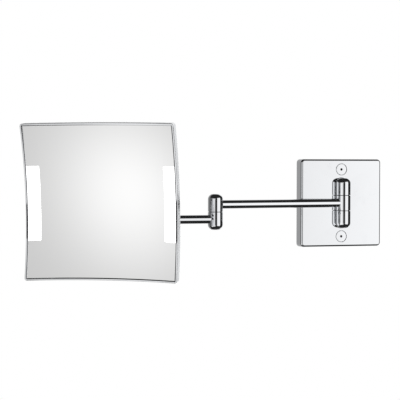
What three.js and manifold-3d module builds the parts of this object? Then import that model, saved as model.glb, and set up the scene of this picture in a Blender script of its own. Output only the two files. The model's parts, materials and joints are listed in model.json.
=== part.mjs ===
// Extendable shaving mirror with a lit, concave square head on a two-piece swivel arm.
// Millimetres. The wall is the plane y = 0, the room is on the -Y side, +X is right and +Z is up.
// The origin is the centre of the back of the wall plate.
import * as THREE from 'three';
import { mergeVertices } from 'three/addons/utils/BufferGeometryUtils.js';
import Module from 'manifold-3d';

const wasm = await Module();
wasm.setup();

// ---- driving dimensions -------------------------------------------------------------------

const gap = 0.3; // space left between pieces that touch
const runningGap = 0.1; // radial play of a shaft in the hole it turns in

// wall plate
const plateSide = 120;
const plateDepth = 16;
const plateCorner = 5;
const plateWall = 2;
const backplateThickness = 3;
const backplateMargin = 1; // backplate to the inside of the cover
const coverScrewOffset = 46; // above and below the centre
const coverScrewHeadRadius = 7.7;
const coverScrewHeadThickness = 2.2;
const coverScrewShankRadius = 2.9;
const coverScrewLength = 10;
const coverScrewSocket = 1.9; // hexagon, centre to corner
const coverPostRadius = 6;
const wallHoleOffset = 42; // left and right of the centre
const wallHoleRadius = 3;
const forkScrewOffset = 21;
const inletX = 32;
const inletZ = -34;
const inletRadius = 3.5;

// swivel knuckles, all turned from the same bar
const knuckleRadius = 10;
const knuckleRound = 7; // rounding of a knuckle's free end
const knuckleAbove = 13.9; // from an arm's axis to the knuckle's round end
const partingGap = 0.6; // seen as a fine line between two knuckles
const wallAxisProud = 6.5; // wall swivel axis in front of the plate's face
const forkWebWidth = 12;
const middleHalf = 10.2; // half height of the arm's knuckle between the fork's two

// pivot screws, hollow so that the lead can pass
const pivotRadius = 4.5;
const pivotBore = 2.3;
const pivotHeadRadius = 6.6;
const pivotHeadDepth = 6; // counterbore in the lower knuckle
const pivotSocket = 3.1; // hexagon, centre to corner
const pivotReach = 4; // above the upper arm's axis
const springWasherThickness = 0.8;

// arms
const wallArmLength = 200; // between swivel axes
const mirrorArmLength = 140;
const armDrop = 19.5; // the mirror arm runs below the wall arm
const tubeRadius = 5.75;
const tubeBore = 4.25;
const tubeSeat = 6.2; // from a swivel axis to the end of a tube
const leadRadius = 2.2;

// rest pose, degrees
const wallArmAngle = 8;
const mirrorArmAngle = -8;
const headAngle = -34;
const headTilt = 5.7;

// tilt hinge behind the head
const tiltHeight = 31; // above the mirror arm's axis
const tiltBarrelRadius = 8;
const tiltBarrelHalf = 8.3;
const tiltNeckRadius = 6;
const tiltPostReach = 8; // of the pivot screw into the post
const tiltPinRadius = 3;
const tiltSetback = 45; // from the mirror's surface to the tilt axis
const tiltWasherThickness = 0.5;
const earGap = 9.1; // from the middle of the hinge to each ear
const earThickness = 5;
const earHalfHeight = 7;
const flangeRadius = 23;
const flangeThickness = 3;
const bracketScrewOffset = 12;

// head, all its layers are parts of spheres about one centre in front of it
const headSide = 200;
const headCorner = 3;
const curveRadius = 370; // of the reflecting surface
const domeReach = headSide * 0.76; // radius of the round layers the square head is cut from
const frameLip = 3; // width of the rim over the glass
const frameLipThickness = 1.2;
const frameWall = 1.7;
const glassThickness = 3;
const carrierThickness = 2.6;
const headDepth = 11.9; // from the reflecting surface to the back of the rear cover
const rearCoverThickness = 1.6;
const bossRadius = 4.5;
const rearScrewOffset = 80;
const leadHoleX = -34;
const windowWidth = 15.5;
const windowHeight = 95;
const windowDrop = 2.8; // the windows' middle below the head's middle
const lightBoxWall = 1;
const ledStripThickness = 0.8;
const ledCount = 8;

// small screws in the head
const smallScrewRadius = 1.5;
const smallHeadRadius = 3;
const smallHeadHeight = 1.2;
const smallSocket = 1.1;

const roundSegments = 24;
const smallSegments = 16;
const screwSegments = 10;
const domeSegments = 28;
const domeRings = 5;

// ---- derived dimensions ---------------------------------------------------------------------

const wallAxisY = -(plateDepth + wallAxisProud);
const coverInner = plateSide / 2 - plateWall;
const pivotPlay = runningGap / 4.5; // for each millimetre of the pivot's radius
const knuckleHole = pivotRadius * (1 + pivotPlay);
const partingHalf = partingGap / 2;
const knuckleBelow = (armDrop - partingGap) / 2; // from an arm's axis to the flat face of the joint
const knuckleSpan = knuckleAbove + knuckleBelow;
const forkHalf = middleHalf + partingGap + knuckleSpan;
const headHalf = headSide / 2;
const rearInner = headDepth - rearCoverThickness;
const frameDepth = rearInner - gap;
const glassHalf = headHalf - frameWall - gap;
const lipInner = headHalf - frameLip;
const windowInner = lipInner - windowWidth;
const carrierFront = glassThickness + gap;
const carrierBack = carrierFront + carrierThickness;
const boxDepth = rearInner - gap;
const stripFront = boxDepth - lightBoxWall - gap - ledStripThickness;

// ---- materials --------------------------------------------------------------------------------

const finish = (color, roughness, metalness) =>
  new THREE.MeshStandardMaterial({ color, roughness, metalness });
const chrome = finish(0xe8eaec, 0.06, 1);
const steel = finish(0xb4b6b8, 0.35, 1);
const zinc = finish(0xa9adb0, 0.45, 1);
const silvered = finish(0xf2f4f5, 0.02, 1);
const satin = finish(0xfdfdfb, 0.5, 0);
const whitePlastic = finish(0xe9e9e6, 0.5, 0);
const blackPlastic = finish(0x26272a, 0.55, 0);
const rubber = finish(0x1d1d1f, 0.8, 0);
const nylon = finish(0x3a3b3d, 0.5, 0);
const board = finish(0xf4f4ee, 0.6, 0);
const insulation = finish(0xd9d9d6, 0.6, 0);

// ---- solid modelling --------------------------------------------------------------------------

function solidOf(geometry) {
  const bare = geometry.clone();
  bare.deleteAttribute('normal');
  bare.deleteAttribute('uv');
  const merged = mergeVertices(bare, 1e-4);
  return new wasm.Manifold(new wasm.Mesh({
    numProp: 3,
    vertProperties: new Float32Array(merged.attributes.position.array),
    triVerts: new Uint32Array(merged.index.array),
  }));
}

function geometryOf(solid) {
  const mesh = solid.getMesh();
  const geometry = new THREE.BufferGeometry();
  geometry.setAttribute('position', new THREE.BufferAttribute(mesh.vertProperties, 3));
  geometry.setIndex(new THREE.BufferAttribute(mesh.triVerts, 1));
  geometry.computeVertexNormals();
  return geometry;
}

const join = (first, ...rest) => rest.reduce((sum, part) => sum.add(part), first);
const cut = (first, ...rest) => rest.reduce((sum, part) => sum.subtract(part), first);

function box(low, high) {
  const size = high.map((value, axis) => value - low[axis]);
  const centre = high.map((value, axis) => (value + low[axis]) / 2);
  return solidOf(new THREE.BoxGeometry(...size).translate(...centre));
}

// a round bar between two heights along Z, its outline stepping through [radius, height] pairs
function turned(outline, segments = roundSegments) {
  const points = outline.map(([radius, height]) => new THREE.Vector2(radius, height));
  return solidOf(new THREE.LatheGeometry(points, segments).rotateX(Math.PI / 2));
}

const bar = (radius, low, high, segments = roundSegments) =>
  turned([[0, low], [radius, low], [radius, high], [0, high]], segments);

// the same bar laid along X or Y
const barX = (radius, low, high, segments) => bar(radius, low, high, segments).rotate([0, 90, 0]);
const barY = (radius, low, high, segments) => bar(radius, -high, -low, segments).rotate([90, 0, 0]);

function roundedBar(halfWidth, halfHeight, corner) {
  const x = halfWidth - corner;
  const y = halfHeight - corner;
  const quarter = Math.PI / 2;
  const shape = new THREE.Shape();
  shape.absarc(x, -y, corner, -quarter, 0);
  shape.absarc(x, y, corner, 0, quarter);
  shape.absarc(-x, y, corner, quarter, 2 * quarter);
  shape.absarc(-x, -y, corner, 2 * quarter, 3 * quarter);
  shape.closePath();
  return shape;
}

const roundedSquare = (half, corner) => roundedBar(half, half, corner);

// an outline drawn in X and Z, extruded along Y from back to front
function slab(shape, front, back, bevel = 0) {
  const geometry = new THREE.ExtrudeGeometry(shape, {
    depth: back - front - bevel,
    bevelEnabled: bevel > 0,
    bevelSize: bevel,
    bevelThickness: bevel,
    bevelOffset: -bevel,
    bevelSegments: 2,
    curveSegments: 4,
  });
  return solidOf(geometry.rotateX(Math.PI / 2).translate(0, back, 0));
}

// a blind hexagon hole from a depth upwards
function hexagonHole(radius, low) {
  const corners = Array.from({ length: 6 }, (_, side) => {
    const angle = side * Math.PI / 3;
    return new THREE.Vector2(radius * Math.cos(angle), radius * Math.sin(angle));
  });
  const geometry = new THREE.ExtrudeGeometry(new THREE.Shape(corners), { depth: 4, bevelEnabled: false });
  return solidOf(geometry.translate(0, 0, low));
}

// a layer of the head between two depths behind the reflecting surface
function domeLayer(front, back) {
  const arc = (depth) => Array.from({ length: domeRings + 1 }, (_, ring) => {
    const angle = Math.asin(domeReach / curveRadius) * ring / domeRings;
    const radius = curveRadius + depth;
    return new THREE.Vector2(radius * Math.sin(angle), radius * Math.cos(angle) - curveRadius);
  });
  const points = [...arc(front), ...arc(back).reverse()];
  return solidOf(new THREE.LatheGeometry(points, domeSegments));
}

const headBlock = (half, corner) => slab(roundedSquare(half, corner), -80, 40);

// a solid made at the head's centre, swung about the centre of curvature out to a point on the head
const swung = (solid, x, z) => {
  const turnX = Math.asin(z / curveRadius) * 180 / Math.PI;
  const turnZ = -Math.asin(x / curveRadius) * 180 / Math.PI;
  return solid.translate([0, curveRadius, 0]).rotate([turnX, 0, turnZ]).translate([0, -curveRadius, 0]);
};

// ---- scene graph helpers ------------------------------------------------------------------------

function place(parent, name, solid, look, position = [0, 0, 0]) {
  const mesh = new THREE.Mesh(geometryOf(solid), look);
  mesh.name = name;
  mesh.position.set(...position);
  parent.add(mesh);
}

function frameAt(parent, position, rotation) {
  const group = new THREE.Group();
  group.position.set(...position);
  group.rotation.set(...rotation.map((angle) => THREE.MathUtils.degToRad(angle)));
  parent.add(group);
  return group;
}

// ---- knuckles, pivots and washers -----------------------------------------------------------------

// quarter round from a knuckle's side to its free end, side = 1 at the top and -1 at the bottom
function roundEnd(height, side, corner = knuckleRound) {
  const steps = 4;
  return Array.from({ length: steps + 1 }, (_, step) => {
    const angle = step / steps * Math.PI / 2;
    const radius = knuckleRadius - corner + corner * Math.cos(angle);
    return [radius, height + side * corner * (Math.sin(angle) - 1)];
  });
}

function knuckleUp(low, high, corner) {
  return turned([[0, low], [knuckleRadius, low], ...roundEnd(high, 1, corner), [0, high]]);
}

function knuckleDown(low, high) {
  return turned([[0, low], ...roundEnd(low, -1).reverse(), [knuckleRadius, high], [0, high]]);
}

// hole for an arm's tube in a knuckle's side, and the lead's way on to the pivot; side = 1 is +X
function armSocket(side) {
  const seat = tubeSeat - gap;
  const reach = knuckleRadius + 1;
  const hole = barX(tubeRadius + gap / 2, seat, reach, smallSegments);
  const way = barX(leadRadius + gap, 0, reach, smallSegments);
  return hole.add(way).rotate([0, 0, side > 0 ? 0 : 180]);
}

// room for the pivot screw through a knuckle that hangs from the flat face at a height
function pivotWay(bottom, top) {
  const shankHole = bar(knuckleHole, bottom - 1, top, smallSegments);
  const headHole = bar(pivotHeadRadius + gap, bottom - 1, bottom + pivotHeadDepth, smallSegments);
  return shankHole.add(headHole);
}

// hollow screw whose head closes the round bottom of the lowest knuckle
function pivotScrew(bottom, top) {
  const headTop = bottom + pivotHeadDepth - springWasherThickness - gap;
  const head = bar(pivotHeadRadius, bottom - 1, headTop, smallSegments)
    .intersect(knuckleDown(bottom, headTop));
  const shank = bar(pivotRadius, bottom + 1, top, smallSegments);
  const bore = bar(pivotBore, bottom - 1, top + 1, smallSegments);
  return cut(head.add(shank), bore, hexagonHole(pivotSocket, bottom - 1));
}

function ring(inner, outer, low, high, segments = smallSegments) {
  return turned([[inner, low], [outer, low], [outer, high], [inner, high], [inner, low]], segments);
}

const springWasher = (bottom) => {
  const top = bottom + pivotHeadDepth - gap / 2;
  return ring(knuckleHole, pivotHeadRadius, top - springWasherThickness, top);
};

const frictionWasher = (height) =>
  ring(knuckleHole, knuckleRadius - 1.5, height - partingHalf + gap / 3, height + partingHalf - gap / 3);

const tube = (length) => {
  const low = tubeSeat;
  const high = length - tubeSeat;
  return ring(tubeBore, tubeRadius, low, high, roundSegments).rotate([0, -90, 0]);
};

const lead = (length) => barX(leadRadius, -(length - tubeSeat - 1), -(tubeSeat + 1), smallSegments);

// ---- wall plate -------------------------------------------------------------------------------------

const screwHeights = [['upper', coverScrewOffset], ['lower', -coverScrewOffset]];
const forkScrewHeights = [['upper', forkScrewOffset], ['lower', -forkScrewOffset]];

function backplate() {
  const half = coverInner - backplateMargin;
  const front = -backplateThickness;
  const postEnd = -(plateDepth - coverScrewHeadThickness - 2 * gap - plateWall - gap);
  const posts = screwHeights.map(([, z]) =>
    barY(coverPostRadius, postEnd, front, smallSegments).translate([0, 0, z]));
  const threads = screwHeights.map(([, z]) =>
    barY(coverScrewShankRadius + gap, postEnd - 1, front - 0.5, smallSegments).translate([0, 0, z]));
  const wallHoles = [-wallHoleOffset, wallHoleOffset].map((x) =>
    barY(wallHoleRadius, front - 1, 1, smallSegments).translate([x, 0, 0]));
  const inlet = barY(inletRadius + 3.4, front - 1, 1, smallSegments).translate([inletX, 0, inletZ]);
  const forkHoles = forkScrewHeights.map(([, z]) => forkScrew(gap).translate([0, 0, z]));
  const plate = join(slab(roundedSquare(half, 3), front, 0), ...posts);
  return cut(plate, ...threads, ...wallHoles, inlet, ...forkHoles);
}

function plateCover() {
  const front = -plateDepth;
  const outside = slab(roundedSquare(plateSide / 2, plateCorner), front, 4, 1.2);
  const behindWall = box([-plateSide, 0, -plateSide], [plateSide, 9, plateSide]);
  const inside = slab(roundedSquare(coverInner, plateCorner - plateWall), front + plateWall, 1);
  const shell = cut(outside, behindWall, inside);
  const headRoom = coverScrewHeadThickness + gap;
  const cupBack = front + headRoom + plateWall;
  const cups = screwHeights.map(([, z]) =>
    barY(coverScrewHeadRadius + 2, front + 1, cupBack, smallSegments).translate([0, 0, z]));
  const pockets = screwHeights.map(([, z]) =>
    barY(coverScrewHeadRadius + gap, front - 1, front + headRoom).translate([0, 0, z]));
  const holes = screwHeights.map(([, z]) =>
    barY(coverScrewShankRadius + gap, front - 1, 0, smallSegments).translate([0, 0, z]));
  const sunkHalf = Math.sqrt(knuckleRadius ** 2 - wallAxisProud ** 2) + gap;
  const slot = slab(roundedBar(sunkHalf, forkHalf + gap, knuckleRound), front - 1, 0);
  return cut(join(shell, ...cups), ...pockets, ...holes, slot);
}

// flush round head with a small hexagon socket, made with its face at y = 0
function coverScrew() {
  const neck = coverScrewHeadRadius - 0.4;
  const head = turned([
    [0, -coverScrewHeadThickness], [coverScrewHeadRadius, -coverScrewHeadThickness],
    [coverScrewHeadRadius, -0.4], [neck, 0], [0, 0],
  ]);
  const end = 1 - coverScrewHeadThickness - coverScrewLength;
  const shank = bar(coverScrewShankRadius, end, -1, smallSegments);
  return cut(head.add(shank), hexagonHole(coverScrewSocket, -1.5)).rotate([90, 0, 0]);
}

// countersunk screw from behind; grow makes the hole it sits in, open past the back
function forkScrew(grow = 0) {
  const back = grow > 0 ? 1 : -gap;
  const cone = [[0, -12 - grow], [2.4 + grow, -12 - grow], [2.4 + grow, -2.6], [4.6 + grow, -gap]];
  const opening = grow > 0 ? [[4.6 + grow, back]] : [];
  return turned([...cone, ...opening, [0, back]], smallSegments).rotate([-90, 0, 0]);
}

function swivelFork() {
  const armRoom = middleHalf + partingGap;
  const webHalf = forkWebWidth / 2;
  const webBack = -(backplateThickness + gap);
  const webHeight = forkHalf - knuckleRound;
  const web = box([-webHalf, wallAxisY, -webHeight], [webHalf, webBack, webHeight]);
  const upper = knuckleUp(armRoom, forkHalf).translate([0, wallAxisY, 0]);
  const lower = knuckleDown(-forkHalf, -armRoom).translate([0, wallAxisY, 0]);
  const room = bar(knuckleRadius + 2 * gap, -armRoom, armRoom).translate([0, wallAxisY, 0]);
  const pivot = pivotWay(-forkHalf, armRoom + 13).translate([0, wallAxisY, 0]);
  const threads = forkScrewHeights.map(([, z]) => forkScrew(gap).translate([0, 0, z]));
  return cut(join(web, upper, lower), room, pivot, ...threads);
}

// lamp supply, with a notch for its leads at each end
const ledDriver = () => {
  const body = box([-53, -13.2, -31], [-13, -backplateThickness - gap, 31]);
  const notch = box([-45, -14, -32], [-21, -10, -27]);
  return cut(body, notch, notch.translate([0, 0, 59]));
};

function terminalBlock() {
  const body = box([20, -12.8, 6], [42, -backplateThickness - gap, 36]);
  const ways = [11, 21, 31].flatMap((z) => [
    barX(2, 15, 50, screwSegments).translate([0, -7, z]),
    barY(2.2, -14, -9, screwSegments).translate([31, 0, z]),
  ]);
  return cut(body, ...ways);
}

const inletGrommet = () => {
  const neck = inletRadius + 3;
  const front = backplateThickness + gap;
  return turned([
    [inletRadius, gap], [neck, gap], [neck, front], [neck + 2.2, front],
    [neck + 2.2, front + 1.8], [inletRadius, front + 1.8], [inletRadius, gap],
  ], smallSegments).rotate([90, 0, 0]);
};

// ---- head ---------------------------------------------------------------------------------------------

const fourCorners = (offset) =>
  [[-offset, offset], [offset, offset], [offset, -offset], [-offset, -offset]];

// a block through the head at the windows' height; side = -1 on the left, 1 on the right
const sideBlock = (side, inner, outer, half) => {
  const reach = [inner * side, outer * side].sort((one, other) => one - other);
  return box([reach[0], -80, -half - windowDrop], [reach[1], 40, half - windowDrop]);
};

function headFrame() {
  const lipFront = -(frameLipThickness + gap);
  const outside = headBlock(headHalf, headCorner).intersect(domeLayer(lipFront, frameDepth));
  const inside = headBlock(headHalf - frameWall, headCorner - 1).intersect(domeLayer(-gap, frameDepth + 9));
  return cut(outside, inside, headBlock(lipInner, headCorner - 1.5));
}

const glassSheet = () => headBlock(glassHalf, headCorner - 1).intersect(domeLayer(0, glassThickness));

function mirrorGlass() {
  const notches = [-1, 1].map((side) => sideBlock(side, windowInner, headHalf, windowHeight / 2 + gap));
  return cut(glassSheet(), ...notches);
}

const lightWindow = (side) =>
  glassSheet().intersect(sideBlock(side, windowInner + gap, headHalf, windowHeight / 2));

function glassCarrier() {
  const room = domeLayer(carrierFront, boxDepth);
  const sheet = headBlock(glassHalf, headCorner - 1).intersect(domeLayer(carrierFront, carrierBack));
  const bosses = fourCorners(rearScrewOffset)
    .map(([x, z]) => swung(barY(bossRadius, -5, 20, smallSegments), x, z));
  const pad = barY(flangeRadius - 1, -5, 20);
  const raised = join(pad, ...bosses).intersect(room);
  const boxHoles = [-1, 1].map((side) => sideBlock(side, windowInner, headHalf, windowHeight / 2));
  const bores = [...fourCorners(rearScrewOffset), ...fourCorners(bracketScrewOffset)]
    .map(([x, z]) => swung(barY(smallScrewRadius + gap / 2, carrierFront + 1, 20, screwSegments), x, z));
  return cut(sheet.add(raised), ...boxHoles, ...bores);
}

function lightBox(side) {
  const inner = windowInner + gap;
  const outer = glassHalf - gap;
  const half = windowHeight / 2 - gap;
  const block = sideBlock(side, inner, outer, half).intersect(domeLayer(carrierFront, boxDepth));
  const hollow = sideBlock(side, inner + lightBoxWall, outer - lightBoxWall, half - lightBoxWall)
    .intersect(domeLayer(carrierFront - 1, boxDepth - lightBoxWall));
  return cut(block, hollow);
}

function ledStrip(side) {
  const inner = windowInner + 4;
  const outer = glassHalf - 4;
  const half = windowHeight / 2 - 3;
  const strip = sideBlock(side, inner, outer, half)
    .intersect(domeLayer(stripFront, stripFront + ledStripThickness));
  const middle = side * (inner + outer) / 2;
  const pitch = 2 * half / ledCount;
  const chips = Array.from({ length: ledCount }, (_, index) => {
    const chip = box([-1.5, stripFront - 0.9, -1.5], [1.5, stripFront + 0.2, 1.5]);
    return swung(chip, middle, (index + 0.5) * pitch - half - windowDrop);
  });
  return join(strip, ...chips);
}

function rearCover() {
  const sheet = headBlock(headHalf - gap, headCorner).intersect(domeLayer(rearInner, headDepth));
  const holes = [...fourCorners(rearScrewOffset), ...fourCorners(bracketScrewOffset)]
    .map(([x, z]) => swung(barY(smallScrewRadius + gap, -5, 30, screwSegments), x, z));
  const leadHole = swung(barY(4.3, -5, 30, smallSegments), leadHoleX, 0);
  return cut(sheet, ...holes, leadHole);
}

// pan head screw along Y, its head seated at a depth behind the reflecting surface
function smallScrew(seat, length) {
  const head = seat + smallHeadHeight;
  const body = turned([
    [0, seat - length], [smallScrewRadius, seat - length], [smallScrewRadius, seat],
    [smallHeadRadius, seat], [smallHeadRadius - 0.4, head], [0, head],
  ], screwSegments);
  return cut(body, hexagonHole(smallSocket, head - 0.8)).rotate([-90, 0, 0]);
}

function hingeBracket() {
  const front = headDepth + gap;
  const flange = domeLayer(front, front + flangeThickness).intersect(barY(flangeRadius, -5, 30));
  const holes = fourCorners(bracketScrewOffset)
    .map(([x, z]) => swung(barY(smallScrewRadius + gap, -5, 30, screwSegments), x, z));
  const ears = [-1, 1].map((side) => {
    const inner = side > 0 ? earGap : -earGap - earThickness;
    const web = box([inner, front + 1, -earHalfHeight], [inner + earThickness, tiltSetback, earHalfHeight]);
    return web.add(barX(earHalfHeight, inner, inner + earThickness).translate([0, tiltSetback, 0]));
  });
  const pinHole = barX(tiltPinRadius + gap / 2, -30, 30, smallSegments).translate([0, tiltSetback, 0]);
  return cut(join(flange, ...ears), ...holes, pinHole);
}

// collar for the lead, its flange outside the rear cover
const headGrommet = () => {
  const seat = headDepth + gap;
  return turned([
    [2.4, rearInner + gap], [4, rearInner + gap], [4, seat], [5.6, seat],
    [5.6, seat + 1.3], [2.4, seat + 1.3], [2.4, rearInner + gap],
  ], smallSegments).rotate([-90, 0, 0]);
};

// ---- tilt hinge -----------------------------------------------------------------------------------------

function tiltPost() {
  const low = (armDrop + partingGap) / 2;
  const shoulder = tiltHeight - tiltBarrelRadius - 3.5;
  const base = knuckleUp(low, shoulder, 4);
  const neck = bar(tiltNeckRadius, low + 1, tiltHeight, smallSegments);
  const barrel = barX(tiltBarrelRadius, -tiltBarrelHalf, tiltBarrelHalf).translate([0, 0, tiltHeight]);
  const pinHole = barX(tiltPinRadius + runningGap, -20, 20, smallSegments).translate([0, 0, tiltHeight]);
  const pivotHole = bar(knuckleHole, low - 1, low + tiltPostReach + 1, smallSegments);
  return cut(join(base, neck, barrel), pinHole, pivotHole);
}

const tiltPin = () => {
  const face = earGap + earThickness + gap;
  return turned([
    [0, -face - 3], [3.2, -face - 2.8], [5.4, -face - 1.4], [5.8, -face], [tiltPinRadius, -face],
    [tiltPinRadius, face + 3.5], [0, face + 3.5],
  ], smallSegments).rotate([0, 90, 0]);
};

const tiltNut = () => {
  const face = earGap + earThickness + gap;
  const bore = tiltPinRadius + gap / 2;
  return turned([
    [0, face + 4.2], [bore, face + 4.2], [bore, face], [5.8, face],
    [5.8, face + 2.6], [4.9, face + 4.4], [3, face + 5.6], [0, face + 6],
  ], smallSegments).rotate([0, 90, 0]);
};

const tiltWasher = (side) => {
  const middle = side * (tiltBarrelHalf + earGap) / 2;
  const half = tiltWasherThickness / 2;
  const hole = tiltPinRadius + runningGap;
  return ring(hole, tiltBarrelRadius - 1, middle - half, middle + half).rotate([0, 90, 0]);
};

// ---- assembly -------------------------------------------------------------------------------------------

const mirror = new THREE.Group();
place(mirror, 'wall_backplate', backplate(), zinc);
place(mirror, 'plate_cover', plateCover(), chrome);
for (const [where, z] of screwHeights) {
  place(mirror, `cover_screw_${where}`, coverScrew(), chrome, [0, -plateDepth, z]);
}
place(mirror, 'led_driver', ledDriver(), whitePlastic);
place(mirror, 'terminal_block', terminalBlock(), blackPlastic);
place(mirror, 'inlet_grommet', inletGrommet(), rubber, [inletX, 0, inletZ]);
place(mirror, 'swivel_fork', swivelFork(), chrome);
for (const [where, z] of forkScrewHeights) {
  place(mirror, `fork_screw_${where}`, forkScrew(), steel, [0, 0, z]);
}

const wallAxis = frameAt(mirror, [0, wallAxisY, 0], [0, 0, 0]);
place(wallAxis, 'wall_pivot_screw', pivotScrew(-forkHalf, middleHalf + partingGap + 12), steel);
place(wallAxis, 'wall_spring_washer', springWasher(-forkHalf), steel);
for (const [where, side] of [['upper', 1], ['lower', -1]]) {
  place(wallAxis, `wall_friction_washer_${where}`, frictionWasher(side * (middleHalf + partingHalf)), nylon);
}

const wallArm = frameAt(wallAxis, [0, 0, 0], [0, 0, wallArmAngle]);
const middleHole = bar(knuckleHole, -20, 20, smallSegments);
const middleKnuckle = cut(bar(knuckleRadius, -middleHalf, middleHalf), middleHole, armSocket(-1));
place(wallArm, 'wall_arm_knuckle', middleKnuckle, chrome);
place(wallArm, 'wall_arm_tube', tube(wallArmLength), chrome);
place(wallArm, 'wall_arm_lead', lead(wallArmLength), insulation);

const elbow = frameAt(wallArm, [-wallArmLength, 0, 0], [0, 0, 0]);
const upperHole = bar(knuckleHole, -knuckleBelow - 1, pivotReach + 1, smallSegments);
const upperKnuckle = cut(knuckleUp(-knuckleBelow, knuckleAbove), upperHole, armSocket(1));
place(elbow, 'elbow_upper_knuckle', upperKnuckle, chrome);
place(elbow, 'elbow_pivot_screw', pivotScrew(-armDrop - knuckleAbove, pivotReach), steel);

const mirrorArm = frameAt(elbow, [0, 0, -armDrop], [0, 0, mirrorArmAngle]);
const lowerKnuckle = (side) =>
  cut(knuckleDown(-knuckleAbove, knuckleBelow), pivotWay(-knuckleAbove, knuckleBelow + 1), armSocket(side));
place(mirrorArm, 'elbow_lower_knuckle', lowerKnuckle(-1), chrome);
place(mirrorArm, 'elbow_spring_washer', springWasher(-knuckleAbove), steel);
place(mirrorArm, 'elbow_friction_washer', frictionWasher(armDrop / 2), nylon);
place(mirrorArm, 'mirror_arm_tube', tube(mirrorArmLength), chrome);
place(mirrorArm, 'mirror_arm_lead', lead(mirrorArmLength), insulation);

const headAxis = frameAt(mirrorArm, [-mirrorArmLength, 0, 0], [0, 0, 0]);
place(headAxis, 'head_lower_knuckle', lowerKnuckle(1), chrome);
place(headAxis, 'head_spring_washer', springWasher(-knuckleAbove), steel);
place(headAxis, 'head_friction_washer', frictionWasher(armDrop / 2), nylon);

const headPost = frameAt(headAxis, [0, 0, 0], [0, 0, headAngle]);
place(headPost, 'tilt_post', tiltPost(), chrome);
place(headPost, 'head_pivot_screw', pivotScrew(-knuckleAbove, armDrop / 2 + tiltPostReach), steel);

const tiltAxis = frameAt(headPost, [0, 0, tiltHeight], [headTilt, 0, 0]);
place(tiltAxis, 'tilt_pin', tiltPin(), chrome);
place(tiltAxis, 'tilt_nut', tiltNut(), chrome);
place(tiltAxis, 'tilt_washer_left', tiltWasher(-1), nylon);
place(tiltAxis, 'tilt_washer_right', tiltWasher(1), nylon);

const head = frameAt(tiltAxis, [0, -tiltSetback, 0], [0, 0, 0]);
place(head, 'hinge_bracket', hingeBracket(), chrome);
fourCorners(bracketScrewOffset).forEach(([x, z], index) => {
  const seat = headDepth + 2 * gap + flangeThickness;
  place(head, `bracket_screw_${index + 1}`, swung(smallScrew(seat, 9), x, z), steel);
});
place(head, 'rear_cover', rearCover(), chrome);
fourCorners(rearScrewOffset).forEach(([x, z], index) => {
  place(head, `rear_cover_screw_${index + 1}`, swung(smallScrew(headDepth + gap, 6), x, z), steel);
});
place(head, 'head_grommet', swung(headGrommet(), leadHoleX, 0), rubber);
place(head, 'head_frame', headFrame(), chrome);
place(head, 'mirror_glass', mirrorGlass(), silvered);
place(head, 'glass_carrier', glassCarrier(), blackPlastic);
for (const [where, side] of [['left', -1], ['right', 1]]) {
  place(head, `light_window_${where}`, lightWindow(side), satin);
  place(head, `light_box_${where}`, lightBox(side), whitePlastic);
  place(head, `led_strip_${where}`, ledStrip(side), board);
}

export default mirror;
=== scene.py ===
import json
import math
import bmesh
import bpy
from mathutils import Matrix, Vector


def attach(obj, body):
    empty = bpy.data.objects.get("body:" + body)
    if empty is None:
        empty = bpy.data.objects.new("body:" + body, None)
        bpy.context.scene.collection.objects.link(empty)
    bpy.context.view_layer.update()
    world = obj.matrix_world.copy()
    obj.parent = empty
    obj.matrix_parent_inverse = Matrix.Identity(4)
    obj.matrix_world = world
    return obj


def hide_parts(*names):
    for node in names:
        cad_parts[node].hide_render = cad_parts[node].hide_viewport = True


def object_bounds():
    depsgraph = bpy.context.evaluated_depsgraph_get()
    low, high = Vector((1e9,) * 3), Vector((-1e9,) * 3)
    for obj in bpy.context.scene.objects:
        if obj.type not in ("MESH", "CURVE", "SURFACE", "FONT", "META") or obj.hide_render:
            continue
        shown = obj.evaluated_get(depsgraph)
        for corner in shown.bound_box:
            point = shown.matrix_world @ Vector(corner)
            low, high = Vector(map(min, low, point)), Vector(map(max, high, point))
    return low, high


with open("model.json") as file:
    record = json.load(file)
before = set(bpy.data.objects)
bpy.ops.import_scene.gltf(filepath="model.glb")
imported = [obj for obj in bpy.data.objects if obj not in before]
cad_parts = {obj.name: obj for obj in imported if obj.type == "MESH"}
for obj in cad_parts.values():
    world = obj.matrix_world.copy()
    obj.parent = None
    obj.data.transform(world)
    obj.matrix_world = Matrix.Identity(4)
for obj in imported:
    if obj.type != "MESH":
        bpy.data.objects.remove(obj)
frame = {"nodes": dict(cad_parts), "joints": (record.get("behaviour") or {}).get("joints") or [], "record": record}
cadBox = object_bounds()
mm = 0.001
print("frame loaded")

# swivel and tilt axes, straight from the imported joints
jointPlace = {joint["name"]: Vector(joint["pos_m"]) for joint in frame["joints"]}
jointAxis = {joint["name"]: Vector(joint["axis"]) for joint in frame["joints"]}
same = 1e-6                    # metres within which two places count as one

layout = {
    "armDrop": 19.5 * mm,      # the mirror arm runs this far below the wall arm
    "tiltSetback": 45 * mm,    # mirror surface to tilt axis
    "headTilt": 5.7,           # degrees, facing down
    "curve": 370 * mm,         # radius of the concave mirror
    "clearance": 0.3 * mm,
}

wallPoint = jointPlace["wall_swivel"]
elbowPoint = jointPlace["elbow_swivel"]
headPoint = jointPlace["head_swivel"]
tiltPoint = jointPlace["head_tilt"]


def turnZ(angle):
    return Matrix.Rotation(angle, 4, "Z")


def turnX(angle):
    return Matrix.Rotation(angle, 4, "X")


def headingOf(start, end):
    return math.atan2(start.y - end.y, start.x - end.x)


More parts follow.
